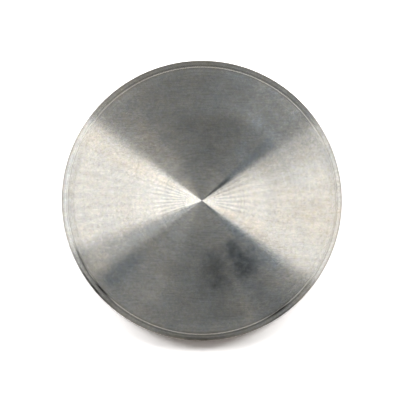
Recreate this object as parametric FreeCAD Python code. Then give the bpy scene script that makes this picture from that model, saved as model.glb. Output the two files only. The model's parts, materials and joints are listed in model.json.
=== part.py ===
import FreeCAD, Part
import os

# Titanium disc: a round blank turned from one piece of bar, in millimetres.
# A flat face stands proud of a collar on each side, so that the rim has a narrow step
# that a holder can grip. The disc lies on its back face.
# The origin is the centre of the back face, and +Z runs along the turning axis to the front.

# Driving dimensions
collar_diameter = 98.5
collar_thickness = 10.0
ledge_width = 2.25
face_rise = 2.0
face_edge_break = 0.35
collar_edge_break = 0.45
root_radius = 0.4

# What follows from them
collar_radius = collar_diameter / 2
face_radius = collar_radius - ledge_width
back_ledge_height = face_rise
front_ledge_height = face_rise + collar_thickness
disc_thickness = front_ledge_height + face_rise

turning_axis = FreeCAD.Vector(0, 0, 1)
back_centre = FreeCAD.Vector(0, 0, 0)
front_centre = FreeCAD.Vector(0, 0, disc_thickness)


def point(radius, height):
    """A point of the half section, at a radius from the turning axis and a height above the back."""
    return FreeCAD.Vector(radius, 0, height)


def rim_corners(face_height, ledge_height, inward):
    """The step's points on one side, from the face out to the collar's wall.

    inward is +1 where the metal lies above the face, as at the back, and -1 at the front.
    """
    face_edge = point(face_radius - face_edge_break, face_height)
    step_top = point(face_radius, face_height + inward * face_edge_break)
    root_top = point(face_radius, ledge_height - inward * root_radius)
    root_end = point(face_radius + root_radius, ledge_height)
    ledge_edge = point(collar_radius - collar_edge_break, ledge_height)
    wall_end = point(collar_radius, ledge_height + inward * collar_edge_break)
    return face_edge, step_top, root_top, root_end, ledge_edge, wall_end


def root_fillet(root_top, root_end, ledge_height, inward):
    """The quarter round that the tool's nose leaves in the step's inner corner."""
    nose_centre = point(face_radius + root_radius, ledge_height - inward * root_radius)
    straight_middle = (root_top + root_end) * 0.5
    outward = (straight_middle - nose_centre).normalize()
    on_the_round = nose_centre + outward * root_radius
    return Part.Arc(root_top, on_the_round, root_end).toShape()


def step_edges(corners, ledge_height, inward):
    """The edges of one side's step, in order from the face to the collar's wall."""
    face_edge, step_top, root_top, root_end, ledge_edge, wall_end = corners
    return [
        Part.LineSegment(face_edge, step_top).toShape(),
        Part.LineSegment(step_top, root_top).toShape(),
        root_fillet(root_top, root_end, ledge_height, inward),
        Part.LineSegment(root_end, ledge_edge).toShape(),
        Part.LineSegment(ledge_edge, wall_end).toShape(),
    ]


def half_section():
    """The closed outline that is turned about the axis to make the disc."""
    back = rim_corners(0, back_ledge_height, 1)
    front = rim_corners(disc_thickness, front_ledge_height, -1)
    edges = [Part.LineSegment(back_centre, back[0]).toShape()]
    edges += step_edges(back, back_ledge_height, 1)
    edges.append(Part.LineSegment(back[-1], front[-1]).toShape())
    edges += reversed(step_edges(front, front_ledge_height, -1))
    edges.append(Part.LineSegment(front[0], front_centre).toShape())
    edges.append(Part.LineSegment(front_centre, back_centre).toShape())
    return Part.Face(Part.Wire(Part.__sortEdges__(edges)))


disc = half_section().revolve(back_centre, turning_axis, 360)

os.makedirs("parts", exist_ok=True)
disc.exportStep("parts/disc.step")
print("disc", round(disc.Volume, 1), "cubic mm, valid", disc.isValid())
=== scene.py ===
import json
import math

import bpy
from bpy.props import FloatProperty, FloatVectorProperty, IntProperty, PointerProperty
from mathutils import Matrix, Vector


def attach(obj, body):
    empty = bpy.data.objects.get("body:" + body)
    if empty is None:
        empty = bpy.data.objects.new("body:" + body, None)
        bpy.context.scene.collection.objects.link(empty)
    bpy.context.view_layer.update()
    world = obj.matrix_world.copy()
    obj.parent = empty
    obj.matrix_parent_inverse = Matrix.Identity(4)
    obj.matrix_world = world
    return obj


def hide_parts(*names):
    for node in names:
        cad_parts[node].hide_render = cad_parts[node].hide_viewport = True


bl_info = {
    "name": "Titanium Disc",
    "version": (1, 0, 0),
    "blender": (4, 5, 0),
    "location": "View3D > Sidebar > Titanium Disc",
    "description": "A round titanium blank with turned faces and a stepped rim, on a studio floor",
    "category": "Add Mesh",
}

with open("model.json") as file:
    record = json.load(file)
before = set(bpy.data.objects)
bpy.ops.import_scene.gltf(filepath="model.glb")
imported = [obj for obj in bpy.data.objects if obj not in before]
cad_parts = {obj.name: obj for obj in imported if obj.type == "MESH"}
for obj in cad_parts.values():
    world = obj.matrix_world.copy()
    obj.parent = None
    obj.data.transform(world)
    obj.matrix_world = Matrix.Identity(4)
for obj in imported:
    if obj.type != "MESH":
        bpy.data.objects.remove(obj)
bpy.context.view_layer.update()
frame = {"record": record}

MM_PER_METRE = 1000

# Places that the frame gives, in metres
MOUNTS = {mount["name"]: mount for mount in frame["record"]["mounts"]}
COLLAR_RADIUS = MOUNTS["collar_wall"]["dims"]["r_mm"] / MM_PER_METRE
BACK_LEDGE_HEIGHT = MOUNTS["back_ledge"]["pos_m"][2]
FRONT_LEDGE_HEIGHT = MOUNTS["front_ledge"]["pos_m"][2]
FRONT_FACE_HEIGHT = MOUNTS["front_face"]["pos_m"][2]

# The photograph's frame in pixels, and where the disc's outline lies in it
PHOTO_WIDTH = 400
OUTLINE_CENTRE_PX = (201.8, 200.65)
OUTLINE_RADIUS_PX = 140.2
SENSOR_WIDTH_MM = 36.0


class DiscSizes(bpy.types.PropertyGroup):
    """The turned blank's sizes."""

    collar_radius: FloatProperty(
        name="Collar Radius",
        description="Radius of the collar's wall, the widest part of the disc",
        default=COLLAR_RADIUS, min=0.005, precision=5, unit="LENGTH")
    ledge_width: FloatProperty(
        name="Ledge Width", description="Width of the step between a face and the collar's wall",
        default=0.00225, min=0.001, precision=5, unit="LENGTH")
    face_edge_break: FloatProperty(
        name="Face Edge Break", description="Width of the small bevel round each face",
        default=0.00035, min=0.0001, precision=5, unit="LENGTH")
    collar_edge_break: FloatProperty(
        name="Collar Edge Break", description="Width of the small bevel at the collar's edges",
        default=0.00045, min=0.0001, precision=5, unit="LENGTH")
    root_radius: FloatProperty(
        name="Root Radius", description="Round that the tool's nose leaves in the step's corner",
        default=0.0004, min=0.0001, precision=5, unit="LENGTH")
    burnish_width: FloatProperty(
        name="Burnish Width",
        description="Width of the tiny round that wear leaves on every sharp edge",
        default=0.00006, min=0.00001, precision=5, unit="LENGTH")
    segments: IntProperty(
        name="Segments", description="Steps round the disc", default=360, min=24, max=720)


class DiscFinish(bpy.types.PropertyGroup):
    """The look of the turned metal."""

    warm_colour: FloatVectorProperty(
        name="Warm Colour", description="Reflected colour of the bare titanium where it is warmest",
        subtype="COLOR", size=3, min=0, max=1, default=(0.580, 0.537, 0.472))
    cool_colour: FloatVectorProperty(
        name="Cool Colour", description="Reflected colour of the bare titanium where it is coolest",
        subtype="COLOR", size=3, min=0, max=1, default=(0.548, 0.537, 0.507))
    roughness: FloatProperty(
        name="Roughness", description="How far the turning marks spread a reflection",
        subtype="FACTOR", min=0.05, max=1, default=0.23)
    groove_slope: FloatProperty(
        name="Groove Slope",
        description="Steepest slope of the fine grooves that the tool's feed left",
        default=0.26, min=0, max=1)
    # Depth of the rays in the bright fans: partly chatter marks, partly painted streaks of the
    # reflections
    chatter_and_streak_strength: FloatProperty(
        name="Chatter Depth",
        description="How far the rays that the tool's chatter left differ in tone",
        default=0.095, min=0, max=1)


class StageSettings(bpy.types.PropertyGroup):
    """The floor, the light and the camera."""

    floor_colour: FloatVectorProperty(
        name="Floor Colour", description="Colour of the studio floor",
        subtype="COLOR", size=3, min=0, max=1, default=(0.94, 0.935, 0.93))
    floor_seen: FloatProperty(
        name="Floor Seen",
        description="Grey of the floor to the camera, above 1 so that a faint shadow stays white",
        default=1.95, min=0)
    floor_size: FloatProperty(
        name="Floor Size", description="Side of the square studio floor",
        default=12.0, unit="LENGTH")
    camera_height: FloatProperty(
        name="Camera Height", description="Height of the camera above the floor",
        default=0.8, unit="LENGTH")
    lamp_level: FloatProperty(
        name="Lamp Level",
        description="Light of all the lamps on the floor, where pi shows a colour as it is",
        default=math.pi, min=0)


class Wire:
    """A socket in a node tree, with arithmetic that adds Math nodes."""

    def __init__(self, graph, socket):
        self.graph = graph
        self.socket = socket

    def math(self, operation, *others, **settings):
        values = dict(enumerate((self, *others)))
        return self.graph.node("ShaderNodeMath", values, operation=operation, **settings)

    def __add__(self, other):
        return self.math("ADD", other)

    __radd__ = __add__

    def __mul__(self, other):
        return self.math("MULTIPLY", other)

    __rmul__ = __mul__

    def __sub__(self, other):
        return self.math("SUBTRACT", other)

    def __rsub__(self, other):
        return self.graph.number(other).math("SUBTRACT", self)

    def __truediv__(self, other):
        return self.math("DIVIDE", other)

    def __abs__(self):
        return self.math("ABSOLUTE")

    def rise(self, low, high):
        """0 below low and 1 above high, with a smooth slope between them."""
        values = {"Value": self, "From Min": low, "From Max": high}
        return self.graph.node("ShaderNodeMapRange", values, interpolation_type="SMOOTHSTEP")


class Graph:
    """A node tree that hands out wires."""

    def __init__(self, tree):
        self.tree = tree
        tree.nodes.clear()

    def node(self, kind, values=None, output=0, stops=(), **settings):
        """Adds a node: settings first, then a ramp's stops, then its sockets' values or wires."""
        made = self.tree.nodes.new(kind)
        for name, value in settings.items():
            setattr(made, name, value)
        for place, (position, colour) in enumerate(stops):
            ramp = made.color_ramp.elements
            stop = ramp[place] if place < len(ramp) else ramp.new(position)
            stop.position = position
            stop.color = colour
        for name, value in (values or {}).items():
            if isinstance(value, Wire):
                self.tree.links.new(value.socket, made.inputs[name])
            else:
                made.inputs[name].default_value = value
        return Wire(self, made.outputs[output]) if len(made.outputs) else None

    def number(self, value):
        return value if isinstance(value, Wire) else self.node("ShaderNodeMath", {0: value, 1: 0.0})

    def split(self, vector):
        made = self.node("ShaderNodeSeparateXYZ", {"Vector": vector}).socket.node
        return [Wire(self, socket) for socket in made.outputs]

    def join(self, x, y, z):
        return self.node("ShaderNodeCombineXYZ", {"X": x, "Y": y, "Z": z})

    def noise(self, vector, scale, detail=2.0, roughness=0.5):
        """Noise about 0, from about -0.5 to 0.5."""
        values = {"Vector": vector, "Scale": scale, "Detail": detail, "Roughness": roughness}
        return self.node("ShaderNodeTexNoise", values) - 0.5

    def tint(self, colour, red, green, blue):
        """A colour whose red, green and blue are each multiplied by a factor."""
        return self.node(
            "ShaderNodeMix", {"Factor": 1.0, 6: colour, 7: self.join(red, green, blue)}, output=2,
            data_type="RGBA", blend_type="MULTIPLY")


def new_graph(owner):
    owner.use_nodes = True
    return Graph(owner.node_tree)


# How bright the turned metal is painted from the centre outwards, partly by zones of the tool's
# feed and partly as painted reflection, brightest near the centre: radius in mm, tone
FEED_AND_REFLECTION_TONES = (
    (0.0, 1.24), (5.5, 1.20), (8.8, 1.12), (12.3, 1.06), (15.8, 1.10), (18.3, 1.06),
    (22.5, 1.04), (25.0, 0.97), (30.0, 0.98), (50.0, 0.98),
)
BRIGHTEST_TONE = 1.3

# Patches painted darker or lighter and bluer or warmer where the metal's reflections and shade look
# so: mostly painted reflections and painted shade, some stains and rubbed places. Azimuth in
# degrees anticlockwise from +X, how far each spreads to both sides of it, the radii in mm between
# which it lies, how much it darkens the metal, and how blue it paints it. Below 0 it lightens the
# metal, or its tint is warm.
PAINTED_MARKS_AND_STAINS = (
    (39.0, 7.0, 1.0, 10.0, 0.67, 0.6),
    (40.0, 7.0, 12.0, 28.0, 0.13, 1.3),
    (41.5, 8.0, 32.0, 46.0, -0.14, 0.3),
    (58.0, 34.0, 34.5, 46.0, -0.27, 0.4),
    (80.0, 20.0, 32.0, 46.0, 0.0, 0.3),
    (45.0, 14.0, 43.8, 46.0, -0.12, -0.2),
    (221.5, 8.0, 31.5, 42.0, 0.22, 1.4),
    (216.0, 26.0, 1.0, 12.0, -0.14, 0.2),
    (240.0, 20.0, 6.0, 13.0, -0.08, 0.0),
    (209.0, 9.0, 2.0, 30.0, 0.0, 0.6),
    (212.0, 10.0, 40.0, 46.0, -0.06, -0.4),
    (244.0, 14.0, 31.0, 38.0, -0.12, 0.0),
    (281.0, 21.0, 20.0, 30.0, 0.40, 0.5),
    (303.0, 14.0, 19.0, 28.5, 0.50, 1.1),
    (317.0, 9.0, 1.0, 25.0, 0.20, 0.8),
    (304.0, 14.0, 28.0, 46.0, 0.18, 0.7),
    (319.0, 9.0, 17.0, 33.0, 0.11, 0.9),
    (280.0, 24.0, 34.0, 41.0, 0.17, 0.0),
    (292.5, 4.0, 31.0, 43.0, -0.12, -0.4),
    (329.0, 6.0, 1.0, 28.0, 0.07, -0.3),
    (317.0, 9.0, 1.0, 6.0, 0.24, 0.2),
    (75.0, 55.0, 15.0, 27.0, 0.22, 0.2),
    (280.0, 55.0, 15.0, 30.0, 0.10, 0.0),
    (265.0, 50.0, 2.0, 13.0, -0.07, 0.0),
    (118.0, 8.0, 28.0, 46.0, 0.06, 0.0),
    (130.0, 18.0, 2.0, 30.0, -0.10, -0.4),
    (147.0, 8.0, 26.0, 36.0, 0.07, 0.0),
    (150.0, 8.0, 2.0, 8.0, -0.05, 0.2),
    (172.0, 50.0, 0.5, 15.0, -0.06, 0.0),
    (20.0, 13.0, 2.0, 10.0, 0.04, -0.4),
    (335.0, 12.0, 8.0, 20.0, 0.05, -0.7),
    (52.0, 12.0, 22.0, 33.0, -0.09, 0.7),
    (29.0, 9.0, 4.0, 18.0, -0.12, 0.0),
    (13.0, 14.0, 24.0, 33.0, 0.06, 0.0),
    (19.0, 7.0, 30.0, 47.0, 0.06, 0.1),
    (-8.0, 22.0, 30.0, 47.0, 0.0, -0.6),
    (152.0, 9.0, 15.0, 47.0, 0.0, -0.5),
    (157.0, 7.0, 31.0, 38.0, 0.07, 0.0),
    (355.0, 8.0, 33.0, 42.0, 0.06, 0.0),
    (350.0, 9.0, 11.0, 18.0, -0.05, 0.0),
    (196.0, 9.0, 1.0, 9.0, -0.09, 0.0),
    (193.0, 9.0, 13.0, 22.0, -0.05, 0.0),
    (216.0, 6.0, 3.0, 22.0, -0.06, 0.0),
    (207.5, 6.0, 5.0, 13.0, 0.10, 0.0),
    # At the rim: painted shade and painted reflections on the face's edge, the step and the ledge
    (180.0, 46.0, 45.0, 46.9, 0.14, 0.0),
    (170.0, 46.0, 47.4, 48.3, -0.06, 0.5),
    (172.0, 50.0, 48.3, 49.3, 0.17, 0.0),
    (272.0, 18.0, 46.2, 46.9, 0.16, 0.0),
    (12.0, 24.0, 45.6, 46.9, 0.07, 0.0),
    (78.0, 55.0, 45.5, 46.8, -0.06, 0.0),
    (207.0, 14.0, 46.8, 47.3, 0.50, 0.0),
    (221.5, 10.0, 46.7, 47.2, 1.00, 0.0),
    (219.0, 14.0, 48.6, 49.3, 0.80, 0.0),
    (305.0, 7.0, 46.9, 47.4, 0.80, -0.8),
    (318.0, 12.0, 46.8, 47.4, -0.15, 0.0),
    (229.0, 8.0, 47.4, 48.7, 0.15, -0.4),
    (305.0, 11.0, 48.8, 49.3, 0.35, 0.0),
    (306.0, 18.0, 47.5, 48.6, -0.25, 0.0),
    (270.0, 24.0, 48.3, 49.3, 0.48, -0.5),
)
# Rings of painted shade and painted reflection at the rim, such as the dark corner of the step and
# the collar's dark edge, painted darker above and below the centre where the reflections are dim:
# inner and outer radius in mm, how much each darkens the metal at the right and left and how blue
# it is there, and the same at the top and bottom
PAINTED_RIM_RINGS = (
    (46.00, 49.30, 0.00, 0.2, 0.00, -0.4),
    (43.90, 45.70, 0.02, 0.0, -0.06, 0.0),
    (46.35, 46.55, 0.05, 0.0, 0.14, 0.0),
    (46.80, 47.30, -0.04, 0.0, 0.16, 0.3),
    (47.40, 47.70, 0.06, 0.0, 0.24, 0.0),
    (47.90, 48.50, -0.08, 0.0, -0.06, 0.0),
    (48.80, 49.30, 0.10, 0.0, 0.46, 0.0),
)
# How wide the soft edges are: a mark's, as a share of its own width, and a ring's in mm
MARK_SOFTNESS = 0.45
RING_SOFT_MM = 0.1
# Heights in mm between which the marks begin, so that they stay on the front and off the wall
MARKS_BEGIN_MM = (11.1, 11.5)

# Noise in rings and rays: how wide a circle of the noise goes round the disc, the larger the more
# changes, how many changes there are in each millimetre of radius, and its detail and roughness
ARCS = (1.2, 2.4, 3.0, 0.6)
BANDS = (0.4, 0.35, 2.0, 0.5)
RAYS = (9.0, 0.03, 3.0, 0.6)
WOBBLE = (3.0, 0.02, 2.0, 0.5)
# Noise without a direction: changes in each millimetre, detail and roughness
GRAIN = (1.1, 3.0, 0.8)
MOTTLE = (0.16, 4.0, 0.65)
BLOTCHES = (0.4, 3.0, 0.6)
SPECKS = (0.7, 4.0, 0.8)
# Noise drawn out along X: a turn in degrees and a shift, which give each one a pattern of its own,
# its changes in each millimetre along X and along Y, and its detail
SCRATCHES = (
    (35, 3.0, (0.16, 2.6), 2.0),
    (100, 11.0, (0.16, 2.6), 2.0),
    (160, 23.0, (0.16, 2.6), 2.0),
)
PATCHES = (70, 5.0, (0.10, 0.14), 4.0)
SCUFF_ROUGHNESS = 0.6
# How unevenly the marks show
BLOTCH_DEPTH = 1.8

# Distance between two of the tool's grooves, and the least radius that a direction is worked out at
FEED_MM = 0.13
LEAST_RADIUS_MM = 0.001
# Dark rays painted only in the bright fans beside the centre, which also paint those fans darker:
# partly the marks that the tool's chatter left, partly painted streaks of the reflected soft boxes.
# Azimuth of a dark one, their spacing and how far they spread to both sides of it, all in degrees
CHATTER_AND_PAINTED_STREAKS = (
    (6.5, 7.7, 22.0),
    (177.5, 5.6, 22.0),
)
# Over how many degrees they fade beyond that, and how far they stray, in radians of their wave
CHATTER_FADE = 8.0
CHATTER_WOBBLE = 2.4
# Radii in mm between which the rays begin, the radii where they are strongest with the width over
# which they weaken, and how strong they stay beyond
CHATTER_START = (3.0, 6.0)
CHATTER_STRONGEST = (5.0, 12.0, 8.0)
CHATTER_REST = 0.28

# The bright fans lie beside the centre, the dim ones above and below it. A place's distance to that
# side as a share of its radius, between none of a fan and all of it
BESIDE = (0.72, 0.86)
ABOVE = (0.55, 0.80)

# How strongly each pattern shades the metal. A second number is how much less that is in the bright
# fans.
ARC_SHADE = 0.16
# The arcs' extra strength near the centre, and the radii in mm over which they lose it
INNER_ARC_SHADE = 0.30
INNER_EDGE = (14.0, 20.0)
BAND_SHADE = 0.10
# Rays painted only in the bright fans: partly chatter marks, partly painted streaks of the
# reflections
RAY_SHADE = 0.03
GRAIN_SHADE = (0.70, 0.10)
MOTTLE_SHADE = (0.32, 0.15)
SCRATCH_SHADE = (0.24, 0.10)
# How much bluer each pattern makes the metal, or warmer below 0
MOTTLE_FILM = -0.8
PATCH_FILM = (2.6, 1.1)
# How much rougher each pattern makes it
ARC_ROUGHNESS = 0.03
BAND_ROUGHNESS = 0.03
GRAIN_ROUGHNESS = 0.04
# How far the red, green and blue of the reflected light differ from speck to speck, and how much of
# that shows
SPECK_COLOURS = (0.11, 0.15, 0.38)
SPECK_SHOWN = (1.3, 0.3)

# How far the grooves lean outwards at the centre, how much less at the edge, and the radii in mm
# between which that changes
GROOVE_LEAN = 0.08
GROOVE_LEAN_LOSS = 0.055
GROOVE_LEAN_EDGE = (12.0, 40.0)
# How straight up or down a surface looks, from where its grooves don't lean to where they do
FLAT = (0.90, 0.95)
# A quarter of a turn, so that reflections are drawn out across the grooves
ACROSS = 0.25


def turned_titanium(finish):
    """Bare titanium, faced on a lathe: round grooves, so that light fans out from the centre."""
    material = bpy.data.materials.new("turned_titanium")
    graph = new_graph(material)
    place = graph.node("ShaderNodeTexCoord", output=3)
    place_mm = graph.node(
        "ShaderNodeVectorMath", {0: place, "Scale": MM_PER_METRE}, operation="SCALE")
    x, y, z = graph.split(place_mm)
    radius = (x * x + y * y).math("SQRT")
    off_axis = radius.math("MAXIMUM", LEAST_RADIUS_MM)
    along_x = x / off_axis
    along_y = y / off_axis
    angle = y.math("ARCTAN2", x) * math.degrees(1)

    def ring_noise(circle, changes, detail, roughness):
        """Noise along a circle that goes round the disc, changing with the radius and height."""
        step = radius * changes + z * changes
        round_the_disc = graph.join(along_x * circle, along_y * circle, step)
        return graph.noise(round_the_disc, 1.0, detail, roughness)

    def scuffs(turn_degrees, shift, scale, detail):
        """Long fine scratches along X, or broad patches at a coarser scale."""
        drawn_out = graph.node("ShaderNodeMapping", {
            "Vector": place_mm,
            "Location": (shift, shift * 2, 0.0),
            "Rotation": (0.0, 0.0, math.radians(turn_degrees)),
            "Scale": (*scale, 1.0),
        })
        return graph.noise(drawn_out, 1.0, detail, SCUFF_ROUGHNESS)

    def between(near, far, soft):
        """1 between two radii, falling to 0 over a soft edge outside them."""
        return radius.rise(near - soft, near) * (1 - radius.rise(far, far + soft))

    def beside(azimuth, spread):
        """1 on an azimuth, falling to 0 at a spread in degrees to each side."""
        return 1 - abs((angle - azimuth).math("WRAP", 180.0, -180.0)).rise(0.0, spread)

    arcs = ring_noise(*ARCS)
    bands = ring_noise(*BANDS)
    rays = ring_noise(*RAYS)
    feed = (radius * (2 * math.pi / FEED_MM)).math("SINE")
    wobble = ring_noise(*WOBBLE) * CHATTER_WOBBLE
    grain = graph.noise(place_mm, *GRAIN)
    mottle = graph.noise(place_mm, *MOTTLE)
    patches = scuffs(*PATCHES)
    on_front = z.rise(*MARKS_BEGIN_MM)
    blotches = (1 + graph.noise(place_mm, *BLOTCHES) * BLOTCH_DEPTH) * on_front
    scale, detail, speck_roughness = SPECKS
    specks = graph.node("ShaderNodeTexNoise", {
        "Vector": place_mm, "Scale": scale, "Detail": detail, "Roughness": speck_roughness,
    }, output=1)
    scratches = scuffs(*SCRATCHES[0]) + scuffs(*SCRATCHES[1]) + scuffs(*SCRATCHES[2])

    # Painted tone, brighter near the centre where the reflections are brightest
    outermost = FEED_AND_REFLECTION_TONES[-1][0]
    tone = graph.node("ShaderNodeValToRGB", {"Fac": radius / outermost}, stops=[
        (mm / outermost, (*(level / BRIGHTEST_TONE,) * 3, 1)) for mm, level in FEED_AND_REFLECTION_TONES
    ])
    inner = 1 - radius.rise(*INNER_EDGE)
    sideways = abs(along_x).rise(*BESIDE)

    def calmed(strength, loss):
        """A pattern's strength, less in the bright fans."""
        return strength - sideways * loss

    shade = (
        BRIGHTEST_TONE * graph.split(tone)[0]
        + arcs * (ARC_SHADE + inner * INNER_ARC_SHADE)
        + bands * BAND_SHADE
        # painted streaks of the reflections, only in the bright fans
        + sideways * rays * RAY_SHADE
        + grain * calmed(*GRAIN_SHADE)
        + mottle * calmed(*MOTTLE_SHADE)
        + scratches * calmed(*SCRATCH_SHADE)
    )
    # A blue or warm film from the mottle and patches, to which the marks and rim rings add painted
    # tints of the reflections
    film_and_painted_tint = mottle * MOTTLE_FILM + patches * calmed(*PATCH_FILM)
    # Paints the rays in the bright fans and darkens those fans with them: partly chatter, partly
    # painted streaks of the reflections
    near_centre = CHATTER_REST + between(*CHATTER_STRONGEST) * (1 - CHATTER_REST)
    chatter_and_streak_depth = finish.chatter_and_streak_strength * radius.rise(*CHATTER_START) * near_centre
    for azimuth, spacing, spread in CHATTER_AND_PAINTED_STREAKS:
        away = (angle - azimuth).math("WRAP", 180.0, -180.0)
        wave = (away * math.radians(360 / spacing) + wobble).math("COSINE")
        fading = 1 - abs(away).rise(spread, spread + CHATTER_FADE)
        shade = shade - (wave + 1) * chatter_and_streak_depth * fading
    # Paints each mark's shade, light and tint on the metal
    for azimuth, spread, near, far, depth, blue in PAINTED_MARKS_AND_STAINS:
        soft = (far - near) * MARK_SOFTNESS
        mark = beside(azimuth, spread) * between(near, far, soft) * blotches
        shade = shade * (1 - mark * depth)
        film_and_painted_tint = mark * blue + film_and_painted_tint
    # Paints the rim's rings of shade and reflection, set apart above and below the centre where the
    # reflections are dim
    above = abs(along_y).rise(*ABOVE)
    for near, far, beside_depth, beside_blue, above_depth, above_blue in PAINTED_RIM_RINGS:
        ring = between(near, far, RING_SOFT_MM)
        shade = shade * (1 - ring * (beside_depth + above * (above_depth - beside_depth)))
        film_and_painted_tint = ring * (beside_blue + above * (above_blue - beside_blue)) + film_and_painted_tint

    # Mixes the metal cooler or warmer by its film and the painted tints
    metal = graph.node("ShaderNodeMix", {
        "Factor": 0.5 - film_and_painted_tint,
        6: (*finish.cool_colour, 1),
        7: (*finish.warm_colour, 1),
    }, output=2, data_type="RGBA", clamp_factor=False)
    shown = calmed(*SPECK_SHOWN)
    colour = graph.tint(metal, *(
        shade * (1 + (speck - 0.5) * shown * strength)
        for speck, strength in zip(graph.split(specks), SPECK_COLOURS)
    ))
    roughness = (
        finish.roughness
        + arcs * ARC_ROUGHNESS
        + bands * BAND_ROUGHNESS
        + grain * GRAIN_ROUGHNESS
    )

    normal = graph.node("ShaderNodeNewGeometry", output=1)
    facing = abs(graph.split(normal)[2]).rise(*FLAT)
    leaning_out = GROOVE_LEAN - GROOVE_LEAN_LOSS * radius.rise(*GROOVE_LEAN_EDGE)
    lean = facing * (leaning_out + feed * finish.groove_slope)
    outward = graph.join(along_x * lean, along_y * lean, 0.0)
    tilted = graph.node("ShaderNodeVectorMath", {0: normal, 1: outward}, operation="ADD")
    tilted = graph.node("ShaderNodeVectorMath", {0: tilted}, operation="NORMALIZE")

    shader = graph.node("ShaderNodeBsdfPrincipled", {
        "Base Color": colour,
        "Metallic": 1.0,
        "Roughness": roughness,
        "Normal": tilted,
        "Anisotropic": 1.0,
        "Anisotropic Rotation": ACROSS,
        "Tangent": graph.node("ShaderNodeTangent", direction_type="RADIAL", axis="Z"),
    })
    graph.node("ShaderNodeOutputMaterial", {"Surface": shader})
    return material


# The angle between two points of a fillet, the angle above which an edge is sharp, and the distance
# in metres below which two points are one
FILLET_STEP_DEGREES = 15
SHARP_ANGLE = math.radians(30)
SAME_PLACE = 0.000001


def rim_profile(sizes):
    """The rim's half section as (radius, height), from the back face's edge to the front's."""
    face_radius = sizes.collar_radius - sizes.ledge_width
    face_break = sizes.face_edge_break
    collar_break = sizes.collar_edge_break
    root = sizes.root_radius

    def step(face_height, ledge_height, inward):
        """One side's points, from the face out to the collar's wall."""
        quarter = [math.radians(angle) for angle in range(0, 91, FILLET_STEP_DEGREES)]
        fillet = [
            (face_radius + root * (1 - math.cos(angle)),
             ledge_height - inward * root * (1 - math.sin(angle)))
            for angle in quarter
        ]
        return [
            (face_radius - face_break, face_height),
            (face_radius, face_height + inward * face_break),
            *fillet,
            (sizes.collar_radius - collar_break, ledge_height),
            (sizes.collar_radius, ledge_height + inward * collar_break),
        ]

    back = step(0, BACK_LEDGE_HEIGHT, 1)
    front = step(FRONT_FACE_HEIGHT, FRONT_LEDGE_HEIGHT, -1)
    return back + front[::-1]


def select_ring(piece, height, radius):
    """Selects, in edit mode, only the vertices at a height and radius."""
    near = 0.00001
    bpy.ops.mesh.select_all(action="DESELECT")
    bpy.ops.object.mode_set(mode="OBJECT")
    for vertex in piece.data.vertices:
        place = vertex.co
        vertex.select = abs(place.z - height) < near and abs(place.xy.length - radius) < near
    bpy.ops.object.mode_set(mode="EDIT")


def fill_face(radius):
    """Closes the selected ring with a face, rings it towards the middle and closes its centre."""
    ring_count = 8
    bpy.ops.mesh.edge_face_add()
    for _ in range(ring_count):
        bpy.ops.mesh.inset(thickness=radius / (ring_count + 1))
    bpy.ops.mesh.poke()


def turn_disc(sizes):
    """Turns the rim's section into the disc: a ring drawn out step by step, then two faces."""
    profile = rim_profile(sizes)
    radius, height = profile[0]
    bpy.ops.object.select_all(action="DESELECT")
    bpy.ops.mesh.primitive_circle_add(vertices=sizes.segments, radius=radius, fill_type="NOTHING")
    piece = bpy.context.object
    piece.name = "turned_disc"
    bpy.ops.object.mode_set(mode="EDIT")
    bpy.ops.mesh.select_mode(type="VERT")
    bpy.ops.mesh.select_all(action="SELECT")
    for next_radius, next_height in profile[1:]:
        rise = (0, 0, next_height - height)
        bpy.ops.mesh.extrude_region_move(TRANSFORM_OT_translate={"value": rise})
        widen = next_radius / radius
        bpy.ops.transform.resize(value=(widen, widen, 1), center_override=(0, 0, 0))
        radius, height = next_radius, next_height
    fill_face(radius)
    select_ring(piece, 0, radius)
    fill_face(radius)
    bpy.ops.mesh.select_all(action="SELECT")
    bpy.ops.mesh.remove_doubles(threshold=SAME_PLACE)
    bpy.ops.mesh.normals_make_consistent(inside=False)
    bpy.ops.object.mode_set(mode="OBJECT")
    burnish = piece.modifiers.new("burnished edges", "BEVEL")
    burnish.width = sizes.burnish_width
    burnish.segments = 3
    burnish.limit_method = "ANGLE"
    burnish.angle_limit = SHARP_ANGLE
    bpy.ops.object.modifier_apply(modifier=burnish.name)
    bpy.ops.object.shade_smooth_by_angle(angle=SHARP_ANGLE)
    return piece


class DISC_OT_turn(bpy.types.Operator):
    """Turn the titanium disc and give it its machined finish"""

    bl_idname = "titanium_disc.turn"
    bl_label = "Turn Disc"
    bl_options = {"REGISTER", "UNDO"}

    def execute(self, context):
        piece = turn_disc(context.scene.disc_sizes)
        piece.data.materials.append(turned_titanium(context.scene.disc_finish))
        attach(piece, "root")
        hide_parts("disc")
        return {"FINISHED"}


def studio_floor(settings):
    """A plain pale floor, lit by the lamps, which the camera sees as white."""
    bpy.ops.object.select_all(action="DESELECT")
    bpy.ops.mesh.primitive_plane_add(size=settings.floor_size)
    floor = bpy.context.object
    floor.name = "studio_floor"
    material = bpy.data.materials.new("studio_floor")
    graph = new_graph(material)
    is_camera_ray = graph.node("ShaderNodeLightPath")
    colour = graph.node("ShaderNodeMix", {
        "Factor": is_camera_ray,
        6: (*settings.floor_colour, 1),
        7: (*(settings.floor_seen,) * 3, 1),
    }, output=2, data_type="RGBA")
    paint = graph.node("ShaderNodeBsdfDiffuse", {"Color": colour})
    graph.node("ShaderNodeOutputMaterial", {"Surface": paint})
    floor.data.materials.append(material)


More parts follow.
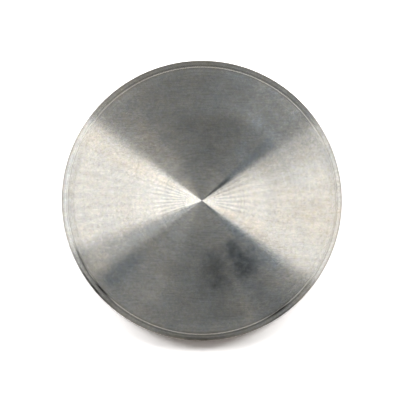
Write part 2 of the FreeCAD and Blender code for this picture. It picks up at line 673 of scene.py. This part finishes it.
# The studio as the disc sees it, by azimuth in degrees anticlockwise from +X: tall soft boxes at
# the right and left, weaker glows and dark gaps, each from, to, level and how soft its edges are
SOFT_BOXES = (
    (-35.0, 34.0, 1.30, 2.0),
    (-14.0, 30.0, 0.09, 20.0),
    (143.5, 201.6, 1.80, 2.0),
    (118.0, 160.0, 0.28, 26.0),
    (206.0, 246.0, 0.16, 16.0),
)
DARK_GAPS = (
    (216.5, 223.0, 0.4, 3.0),
    (299.0, 313.0, 0.4, 6.0),
)
# The dim screens between the boxes, towards the photograph's top and bottom edge, and over which
# part of the way from one to the other they blend
NORTH_SCREEN = (0.285, 0.30, 0.31)
SOUTH_SCREEN = (0.26, 0.28, 0.295)
SCREEN_BLEND = (-0.5, 0.5)
# Elevations in degrees over which the boxes end, and over which the pale wall does
BOX_TOP = (74.0, 84.0)
PALE_WALL_TOP = (8.0, 14.0)
PALE_WALL = (0.72, 0.71, 0.69)
# What reaches the floor where the disc hides the lamps
SHADOW_LIGHT = (0.052, 0.036, 0.028)

# Soft lamps over the photograph's top edge: how far each leans to the right and to the top for each
# metre of its height, how wide it looks from the floor in degrees, and its share of the light
LAMPS = (
    (-1.0, 1.3, 24, 0.20),
    (1.0, 1.3, 24, 0.20),
    (-1.6, 0.4, 12, 0.03),
    (1.6, 0.4, 12, 0.03),
    (-0.5, 0.4, 14, 0.27),
    (0.5, 0.4, 14, 0.27),
)


def studio_world():
    """Soft boxes, dim screens and a pale wall round the horizon, all by direction alone.

    The metal reflects them. The floor gets only the faint light of its shadows, and the camera sees
    white.
    """
    world = bpy.data.worlds.new("studio")
    bpy.context.scene.world = world
    graph = new_graph(world)
    direction = graph.node("ShaderNodeTexCoord")
    x, y, z = graph.split(direction)
    azimuth = y.math("ARCTAN2", x) * math.degrees(1)
    elevation = z.math("ARCSINE") * math.degrees(1)

    def window(low, high, edge):
        """1 between two azimuths and 0 elsewhere, with soft edges."""
        off_middle = abs((azimuth - (low + high) / 2).math("WRAP", 180.0, -180.0))
        half = (high - low) / 2
        return 1 - off_middle.rise(half - edge / 2, half + edge / 2)

    def blend(kind, factor, one, other):
        values = {"Factor": factor, 6: one, 7: other}
        return graph.node("ShaderNodeMix", values, output=2, data_type="RGBA", blend_type=kind)

    boxes = 0.0
    for low, high, level, edge in SOFT_BOXES:
        boxes = window(low, high, edge) * level + boxes
    boxes = boxes * (1 - elevation.rise(*BOX_TOP))
    open_sky = 1.0
    for low, high, depth, edge in DARK_GAPS:
        open_sky = (1 - window(low, high, edge) * depth) * open_sky
    screens = blend("MIX", y.rise(*SCREEN_BLEND), (*SOUTH_SCREEN, 1), (*NORTH_SCREEN, 1))
    screens = graph.tint(screens, open_sky, open_sky, open_sky)
    lit = blend("ADD", 1.0, screens, graph.join(boxes, boxes, boxes))
    studio = blend("MIX", 1 - elevation.rise(*PALE_WALL_TOP), lit, (*PALE_WALL, 1))
    light_path = graph.node("ShaderNodeLightPath").socket.node
    is_diffuse_ray = Wire(graph, light_path.outputs["Is Diffuse Ray"])
    is_camera_ray = Wire(graph, light_path.outputs["Is Camera Ray"])
    seen = blend("MIX", is_diffuse_ray, studio, (*SHADOW_LIGHT, 1))
    seen = blend("MIX", is_camera_ray, seen, (1, 1, 1, 1))
    sky = graph.node("ShaderNodeBackground", {"Color": seen, "Strength": 1.0})
    graph.node("ShaderNodeOutputWorld", {"Surface": sky})


def key_lamps(settings):
    """Soft lamps that light the floor. Only where several are hidden does a shadow show."""
    for right, top, width, share in LAMPS:
        towards = Vector((right, top, 1))
        turn = towards.to_track_quat("Z", "Y").to_euler()
        bpy.ops.object.light_add(type="SUN", rotation=turn)
        lamp = bpy.context.object
        lamp.name = "key_lamp"
        lamp.data.energy = settings.lamp_level * share * towards.length
        lamp.data.angle = math.radians(width)
        lamp.visible_glossy = False


def overhead_camera(settings):
    """Looks straight down, with the disc where the photograph has it."""
    distance = settings.camera_height - FRONT_LEDGE_HEIGHT
    metres_per_pixel = COLLAR_RADIUS / OUTLINE_RADIUS_PX
    off_x = (OUTLINE_CENTRE_PX[0] - PHOTO_WIDTH / 2) * metres_per_pixel
    off_y = (OUTLINE_CENTRE_PX[1] - PHOTO_WIDTH / 2) * metres_per_pixel
    bpy.ops.object.camera_add(location=(-off_x, off_y, settings.camera_height))
    camera = bpy.context.object
    camera.data.sensor_width = SENSOR_WIDTH_MM
    camera.data.lens = SENSOR_WIDTH_MM * distance / (PHOTO_WIDTH * metres_per_pixel)
    bpy.context.scene.camera = camera


class DISC_OT_stage(bpy.types.Operator):
    """Set up the studio floor, the light and the camera"""

    bl_idname = "titanium_disc.stage"
    bl_label = "Set Up Studio"
    bl_options = {"REGISTER", "UNDO"}

    def execute(self, context):
        settings = context.scene.disc_stage
        studio_floor(settings)
        studio_world()
        key_lamps(settings)
        overhead_camera(settings)
        context.scene.view_settings.view_transform = "Standard"
        return {"FINISHED"}


class DISC_PT_panel(bpy.types.Panel):
    """The disc's sizes, finish and studio"""

    bl_idname = "DISC_PT_panel"
    bl_label = "Titanium Disc"
    bl_space_type = "VIEW_3D"
    bl_region_type = "UI"
    bl_category = "Titanium Disc"

    def draw(self, context):
        for operator, group in (
            (DISC_OT_turn, context.scene.disc_sizes),
            (DISC_OT_turn, context.scene.disc_finish),
            (DISC_OT_stage, context.scene.disc_stage),
        ):
            box = self.layout.box()
            for name in group.__annotations__:
                box.prop(group, name)
            box.operator(operator.bl_idname)


CLASSES = (DiscSizes, DiscFinish, StageSettings, DISC_OT_turn, DISC_OT_stage, DISC_PT_panel)


def register():
    for cls in CLASSES:
        bpy.utils.register_class(cls)
    bpy.types.Scene.disc_sizes = PointerProperty(type=DiscSizes)
    bpy.types.Scene.disc_finish = PointerProperty(type=DiscFinish)
    bpy.types.Scene.disc_stage = PointerProperty(type=StageSettings)


def unregister():
    del bpy.types.Scene.disc_stage
    del bpy.types.Scene.disc_finish
    del bpy.types.Scene.disc_sizes
    for cls in reversed(CLASSES):
        bpy.utils.unregister_class(cls)


def main():
    register()
    bpy.ops.titanium_disc.turn()
    bpy.ops.titanium_disc.stage()


if __name__ == "__main__":
    main()
